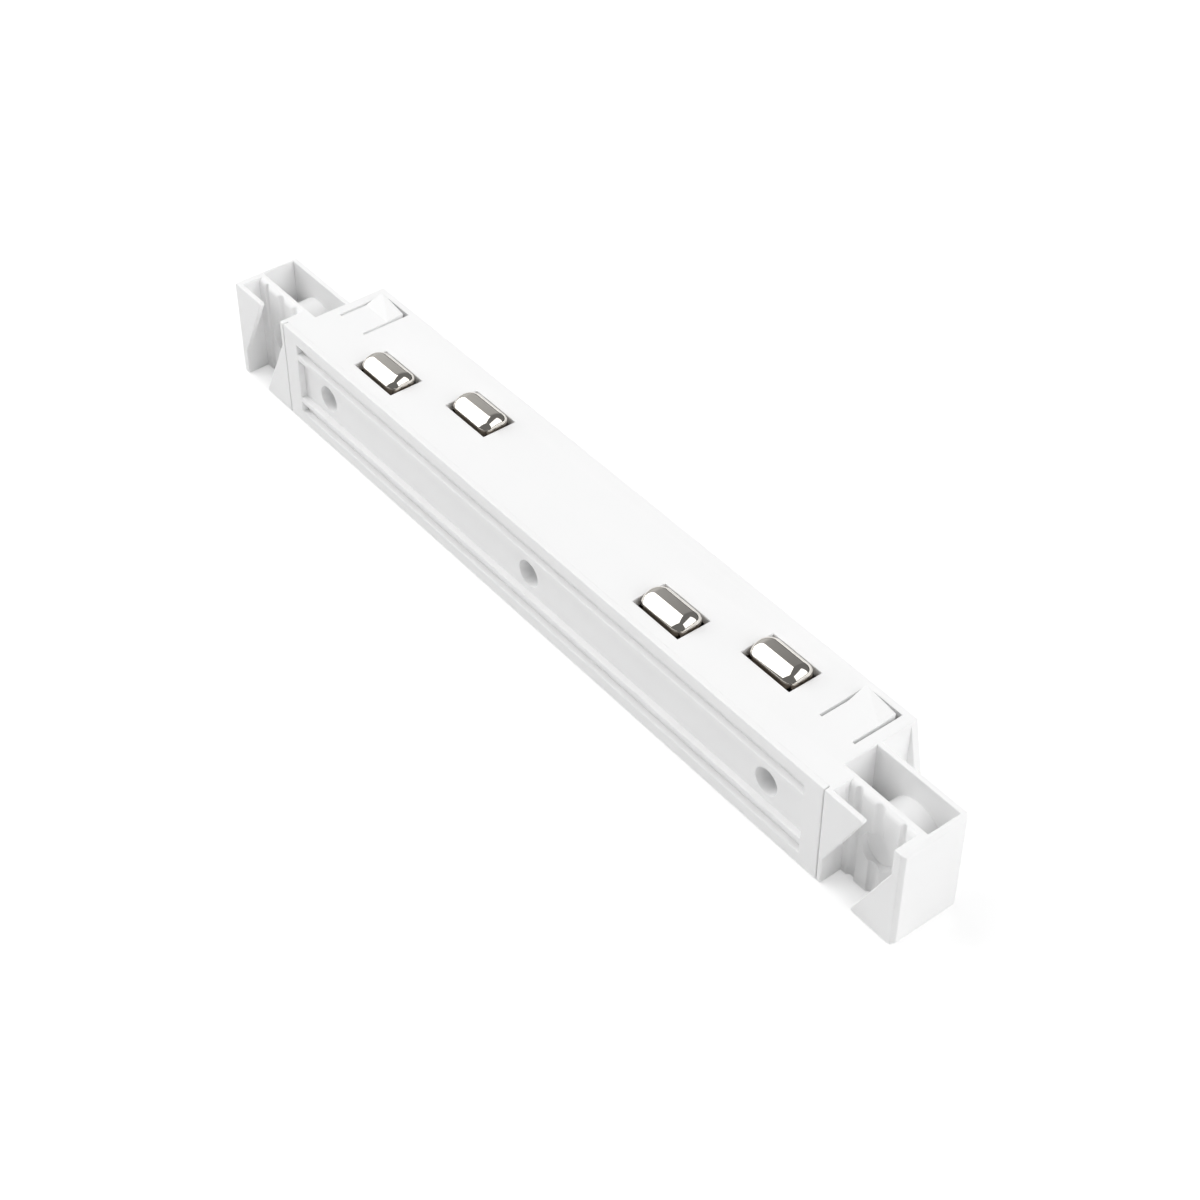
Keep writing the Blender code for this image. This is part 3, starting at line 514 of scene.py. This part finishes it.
for number in (1, 2, 3, 4):
    low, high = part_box(f"contact_{number}")
    centre = (low + high) / 2
    foot_top = low.z + FOOT_THICKNESS
    bm = bmesh.new()
    sections = []
    for end in (-1, 1):
        turns = range(PAD_END_STEPS, -1, -1) if end < 0 else range(PAD_END_STEPS + 1)
        for step in turns:
            angle = math.pi / 2 * step / PAD_END_STEPS
            along = centre.x + end * (PAD_HALF_LENGTH - PAD_END_ROUND * (1 - math.sin(angle)))
            inset = PAD_END_ROUND * (1 - math.cos(angle)) * END_LEFT_OPEN
            sections.append(pad_section(bm, along, centre, high.z, low.z + FOOT_THICKNESS / 2, inset))
    for section, following in zip(sections, sections[1:]):
        for index in range(len(section)):
            after = (index + 1) % len(section)
            bm.faces.new((section[index], section[after], following[after], following[index]))
    bm.faces.new(reversed(sections[0]))
    bm.faces.new(sections[-1])
    bmesh.ops.remove_doubles(bm, verts=bm.verts, dist=MERGE_DISTANCE / 2)
    bmesh.ops.recalc_face_normals(bm, faces=bm.faces)
    mesh = bpy.data.meshes.new(f"contact_{number}_pad")
    bm.to_mesh(mesh)
    bm.free()
    pad = bpy.data.objects.new(f"contact_{number}_pad", mesh)
    scene.collection.objects.link(pad)

    bm = bmesh.new()
    bmesh.ops.create_cube(bm, size=1.0, matrix=Matrix.LocRotScale(
        (centre.x, centre.y, (low.z + foot_top) / 2), None, (2 * FOOT_REACH, 2 * FOOT_HALF_WIDTH, FOOT_THICKNESS)))
    cut_or_joined(pad, bm, "UNION")
    bm = bmesh.new()
    for side in (-0.5, 0.5):
        middle_height = low.z + (POCKET_DEPTH - FOOT_THICKNESS) / 2
        bmesh.ops.create_cone(bm, cap_ends=True, segments=POCKET_SIDES, radius1=POCKET_RADIUS,
                              radius2=POCKET_RADIUS, depth=POCKET_DEPTH + FOOT_THICKNESS,
                              matrix=Matrix.Translation((centre.x + side * COIL_SPACING, centre.y, middle_height)))
    cut_or_joined(pad, bm, "DIFFERENCE")
    pad.data.materials.clear()
    pad.data.materials.append(nickel_finish)
    pad.data.shade_smooth()
    pad.data.set_sharp_from_angle(angle=math.radians(PAD_CREASE_ANGLE))
    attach(pad, f"contact_{number}_pad")
    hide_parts(f"contact_{number}")


# Front cover: the screwed-on face, with its long recess, the slot above and below it and three deep wells.
# It is a second moulding in the same plastic, and its flange closes the housing's open front.

COVER_EDGE_ROUND = 0.00015
COVER_WHITE = 0.945
COVER_GRAIN = 2400.0

cover_finish = satin_moulding("satin_white_cover", COVER_WHITE, COVER_GRAIN)
cover = eased_copy("front_cover", "cover_moulding", COVER_EDGE_ROUND, cover_finish, [seam_box])


# Cover screws: three zinc-plated self-tapping screws at the bottom of the wells, which hold the cover on.
# Each has a domed pan head with a cross drive, and a thread rolled down to its point.

HEAD_RADIUS = 0.0021
HEAD_HEIGHT = 0.0016
HEAD_CROWN = 0.0007
HEAD_TOP_RADIUS = 0.00115
CORE_RADIUS = 0.00082
THREAD_RADIUS = 0.00108
THREAD_PITCH = 0.0008
POINT_LENGTH = 0.0022
DRIVE_REACH = 0.00125
DRIVE_WIDTH = 0.0006
DRIVE_DEPTH = 0.0008
HEAD_STEPS = 40
HEAD_SIDES = 48
CORE_STEPS = 60
CORE_SIDES = 24
SHARPEST_TAPER = 0.02
THREAD_STEPS = 360
THREAD_START = 0.10
THREAD_SHARE = 0.86
THREAD_SIDES = 4
SCREW_CREASE_ANGLE = 35
BRIGHT_ZINC = (0.66, 0.67, 0.69)
DULL_ZINC = (0.55, 0.56, 0.59)
ZINC_CLOUDS = (420.0, 4.0, 0.0, 1.0)
ZINC_ROUGHNESS = (0.26, 0.42)

zinc_finish, tree, shader, place, tone = clouded_metal("zinc_plate", ZINC_CLOUDS, BRIGHT_ZINC, DULL_ZINC)
tree.links.new(mottle(tree, place, 900.0, 3.0, *ZINC_ROUGHNESS), shader.inputs["Roughness"])
texture_bump(tree, shader, mottle(tree, place, 3200.0, 2.0, 0.0, 1.0), 0.15, 0.000004)

SCREW_SIZES = ("Length", "Point Length", "Core Radius", "Thread Radius", "Thread Pitch", "Head Height", "Head Crown",
               "Head Radius", "Head Top Radius", "Drive Reach", "Drive Width", "Drive Depth", "Spacing")
screw_tree, sizes = sized_tree("cover_screws", SCREW_SIZES)


def turned(tree, curve, radius, sides):
    """A solid turned about the line: a round section whose radius varies along it."""
    return swept(tree, curve, ring_profile(tree, 1.0, sides), radius)


head_line, share = along_axis(screw_tree, worked_out(screw_tree, "MULTIPLY", sizes["Head Height"], -1.0), 0.0,
                              HEAD_STEPS)
above_rim = worked_out(screw_tree, "SUBTRACT", worked_out(screw_tree, "MULTIPLY", share, sizes["Head Height"]),
                       sizes["Head Crown"])
lean = worked_out(screw_tree, "DIVIDE", worked_out(screw_tree, "MINIMUM", above_rim, 0.0), sizes["Head Crown"])
squared = worked_out(screw_tree, "MULTIPLY", lean, lean)
bulge = worked_out(screw_tree, "SQRT", worked_out(screw_tree, "SUBTRACT", 1.0, squared))
rim_width = worked_out(screw_tree, "SUBTRACT", sizes["Head Radius"], sizes["Head Top Radius"])
bulged_rim = worked_out(screw_tree, "MULTIPLY", rim_width, bulge)
head_radius = worked_out(screw_tree, "ADD", sizes["Head Top Radius"], bulged_rim)
head = turned(screw_tree, head_line, head_radius, HEAD_SIDES)

drive = screw_tree.nodes.new("GeometryNodeMeshBoolean")
drive.operation = "DIFFERENCE"
drive.solver = "EXACT"
screw_tree.links.new(head, drive.inputs["Mesh 1"])
for long_way, short_way in (("X", "Y"), ("Y", "X")):
    span = screw_tree.nodes.new("ShaderNodeCombineXYZ")
    screw_tree.links.new(worked_out(screw_tree, "MULTIPLY", sizes["Drive Reach"], 2.0), span.inputs[long_way])
    screw_tree.links.new(sizes["Drive Width"], span.inputs[short_way])
    screw_tree.links.new(worked_out(screw_tree, "MULTIPLY", sizes["Drive Depth"], 2.0), span.inputs["Z"])
    wing = screw_tree.nodes.new("GeometryNodeMeshCube")
    screw_tree.links.new(span.outputs[0], wing.inputs["Size"])
    lift = screw_tree.nodes.new("ShaderNodeCombineXYZ")
    screw_tree.links.new(worked_out(screw_tree, "MULTIPLY", sizes["Head Height"], -1.0), lift.inputs["Z"])
    raised = screw_tree.nodes.new("GeometryNodeTransform")
    screw_tree.links.new(wing.outputs["Mesh"], raised.inputs["Geometry"])
    screw_tree.links.new(lift.outputs[0], raised.inputs["Translation"])
    screw_tree.links.new(raised.outputs[0], drive.inputs["Mesh 2"])

core_line, share = along_axis(screw_tree, 0.0, sizes["Length"], CORE_STEPS)
to_tip = worked_out(screw_tree, "MULTIPLY", worked_out(screw_tree, "SUBTRACT", 1.0, share), sizes["Length"])
taper = worked_out(screw_tree, "MINIMUM", worked_out(screw_tree, "DIVIDE", to_tip, sizes["Point Length"]), 1.0)
taper = worked_out(screw_tree, "MAXIMUM", taper, SHARPEST_TAPER)
core = turned(screw_tree, core_line, worked_out(screw_tree, "MULTIPLY", sizes["Core Radius"], taper), CORE_SIDES)

thread_line, share = along_axis(screw_tree, 0.0, 1.0, THREAD_STEPS)
reached = worked_out(screw_tree, "MULTIPLY_ADD", share, THREAD_SHARE, THREAD_START)
up = worked_out(screw_tree, "MULTIPLY", reached, sizes["Length"])
thread_turns = worked_out(screw_tree, "DIVIDE", up, sizes["Thread Pitch"])
to_tip = worked_out(screw_tree, "SUBTRACT", sizes["Length"], up)
taper = worked_out(screw_tree, "MINIMUM", worked_out(screw_tree, "DIVIDE", to_tip, sizes["Point Length"]), 1.0)
reach = worked_out(screw_tree, "MULTIPLY", sizes["Core Radius"], taper)
thread_helix = wound(screw_tree, thread_line, thread_turns, reach, up)
ridge = worked_out(screw_tree, "SUBTRACT", sizes["Thread Radius"], sizes["Core Radius"])
thread = swept(screw_tree, thread_helix, ring_profile(screw_tree, ridge, THREAD_SIDES))

joined = screw_tree.nodes.new("GeometryNodeJoinGeometry")
for part in (thread, core, drive.outputs["Mesh"]):
    screw_tree.links.new(part, joined.inputs[0])
row_of(screw_tree, joined.outputs[0], 3, sizes["Spacing"], sizes)

screw_low, screw_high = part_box("cover_screw_2")
last_low, last_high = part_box("cover_screw_3")
middle = (screw_low + screw_high) / 2
seat_depth = screw_low.y + HEAD_HEIGHT
screw_sizes = {"Length": screw_high.y - seat_depth, "Point Length": POINT_LENGTH, "Core Radius": CORE_RADIUS,
               "Thread Radius": THREAD_RADIUS, "Thread Pitch": THREAD_PITCH, "Head Height": HEAD_HEIGHT,
               "Head Crown": HEAD_CROWN, "Head Radius": HEAD_RADIUS, "Head Top Radius": HEAD_TOP_RADIUS,
               "Drive Reach": DRIVE_REACH, "Drive Width": DRIVE_WIDTH, "Drive Depth": DRIVE_DEPTH,
               "Spacing": last_low.x - screw_low.x}
seat = Matrix.Translation((middle.x, seat_depth, middle.z)) @ Matrix.Rotation(-math.pi / 2, 4, "X")
screws = made_from(screw_tree, "cover_screws", zinc_finish, screw_sizes, seat, SCREW_CREASE_ANGLE)
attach(screws, "connector_body")
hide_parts("cover_screw_1", "cover_screw_2", "cover_screw_3")


# Setting: the photograph's camera, a plain grey room that is darker along its horizon and brighter at the
# left, two large soft boxes with a low fill, and a pale floor. The camera itself sees white beyond the floor.

CAMERA_PLACE = (0.2376, -0.18232, 0.27479)
CAMERA_RIGHT = (0.61906, 0.78535, 0.00151)
CAMERA_FORWARD = (-0.57681, 0.45598, -0.67778)
LENS = 70.95
ROOM_LEVEL = 0.17
LEFT_SHARE = 3.4
LEFT_STARTS = -0.42
LEFT_FULL = -0.75
HORIZON_SHARE = 0.08
HORIZON_DARK = 0.05
HORIZON_CLEAR = 0.10
LAMP_DISTANCE = 1.5
FLOOR_HALF_SIZE = 1.2
FLOOR_DROP = 0.0002
FLOOR_PALE = 0.80
FLOOR_LIFT = 0.35
FLOOR_NEAR = 0.35
FLOOR_FAR = 0.9

camera_data = bpy.data.cameras.new("camera")
camera_data.sensor_width = 36.0
camera_data.lens = LENS
camera_data.clip_start = 0.01
camera = bpy.data.objects.new("camera", camera_data)
scene.collection.objects.link(camera)
right = Vector(CAMERA_RIGHT).normalized()
forward = Vector(CAMERA_FORWARD).normalized()
axes = Matrix((right, right.cross(forward), -forward)).transposed()
camera.matrix_world = Matrix.Translation(CAMERA_PLACE) @ axes.to_4x4()
scene.camera = camera

world = bpy.data.worlds.new("grey_room")
world.use_nodes = True
scene.world = world
tree = world.node_tree
tree.nodes.clear()
coords = tree.nodes.new("ShaderNodeTexCoord")
split = tree.nodes.new("ShaderNodeSeparateXYZ")
ramp = tree.nodes.new("ShaderNodeValToRGB")
ramp.color_ramp.elements[0].position = HORIZON_DARK
ramp.color_ramp.elements[0].color = (HORIZON_SHARE, HORIZON_SHARE, HORIZON_SHARE, 1)
ramp.color_ramp.elements[1].position = HORIZON_CLEAR
ramp.color_ramp.elements[1].color = (1, 1, 1, 1)
sky = tree.nodes.new("ShaderNodeBackground")
out = tree.nodes.new("ShaderNodeOutputWorld")
tree.links.new(coords.outputs["Generated"], split.inputs[0])
tree.links.new(split.outputs["Z"], ramp.inputs[0])
brightness = ranged(tree, split.outputs["X"], LEFT_STARTS, LEFT_FULL, ROOM_LEVEL, ROOM_LEVEL * LEFT_SHARE)
tree.links.new(ramp.outputs[0], sky.inputs["Color"])
tree.links.new(brightness, sky.inputs["Strength"])
surround = tree.nodes.new("ShaderNodeBackground")
surround.inputs["Color"].default_value = (1, 1, 1, 1)
rays = tree.nodes.new("ShaderNodeLightPath")
shown = tree.nodes.new("ShaderNodeMixShader")
seen = worked_out(tree, "MAXIMUM", rays.outputs["Is Camera Ray"], rays.outputs["Is Transmission Ray"])
tree.links.new(seen, shown.inputs["Fac"])
tree.links.new(sky.outputs[0], shown.inputs[1])
tree.links.new(surround.outputs[0], shown.inputs[2])
tree.links.new(shown.outputs[0], out.inputs[0])


def soft_box(name, direction, width, height, radiance, mirrored=True):
    """A large area lamp in a direction from the object, aimed at it, that polished metal may mirror."""
    lamp_data = bpy.data.lights.new(name, "AREA")
    lamp_data.shape = "RECTANGLE"
    lamp_data.size = width
    lamp_data.size_y = height
    lamp_data.energy = radiance * math.pi * width * height
    lamp = bpy.data.objects.new(name, lamp_data)
    scene.collection.objects.link(lamp)
    outwards = Vector(direction).normalized()
    turn = outwards.to_track_quat("Z", "Y").to_matrix().to_4x4()
    lamp.matrix_world = Matrix.Translation(outwards * LAMP_DISTANCE) @ turn
    lamp.visible_camera = False
    lamp.visible_glossy = mirrored


soft_box("left_soft_box", direction=(-0.62, -0.35, 0.62), width=1.65, height=2.0, radiance=1.96)
soft_box("right_soft_box", direction=(0.72, 0.33, 0.60), width=2.2, height=1.8, radiance=1.62)
soft_box("low_right_fill", direction=(0.85, -0.35, 0.40), width=1.4, height=1.4, radiance=0.32, mirrored=False)

bm = bmesh.new()
bmesh.ops.create_grid(bm, x_segments=1, y_segments=1, size=FLOOR_HALF_SIZE)
mesh = bpy.data.meshes.new("floor")
bm.to_mesh(mesh)
bm.free()
floor = bpy.data.objects.new("floor", mesh)
floor.location.z = -FLOOR_DROP
scene.collection.objects.link(floor)
pale, tree, shader, place = new_finish("pale_floor")
shader.inputs["Base Color"].default_value = (FLOOR_PALE, FLOOR_PALE, FLOOR_PALE, 1)
shader.inputs["Roughness"].default_value = 0.9
shader.inputs["Specular IOR Level"].default_value = 0.1
distance = tree.nodes.new("ShaderNodeVectorMath")
distance.operation = "LENGTH"
tree.links.new(place, distance.inputs[0])
lift = ranged(tree, distance.outputs["Value"], FLOOR_NEAR, FLOOR_FAR, FLOOR_LIFT, 1.0)
rays = tree.nodes.new("ShaderNodeLightPath")
seen = worked_out(tree, "MAXIMUM", rays.outputs["Is Camera Ray"], rays.outputs["Is Glossy Ray"])
seen = worked_out(tree, "MAXIMUM", seen, rays.outputs["Is Transmission Ray"])
glow = tree.nodes.new("ShaderNodeEmission")
tree.links.new(worked_out(tree, "MULTIPLY", seen, lift), glow.inputs["Strength"])
both = tree.nodes.new("ShaderNodeAddShader")
tree.links.new(shader.outputs["BSDF"], both.inputs[0])
tree.links.new(glow.outputs["Emission"], both.inputs[1])
tree.links.new(both.outputs["Shader"], tree.nodes["Material Output"].inputs["Surface"])
mesh.materials.append(pale)
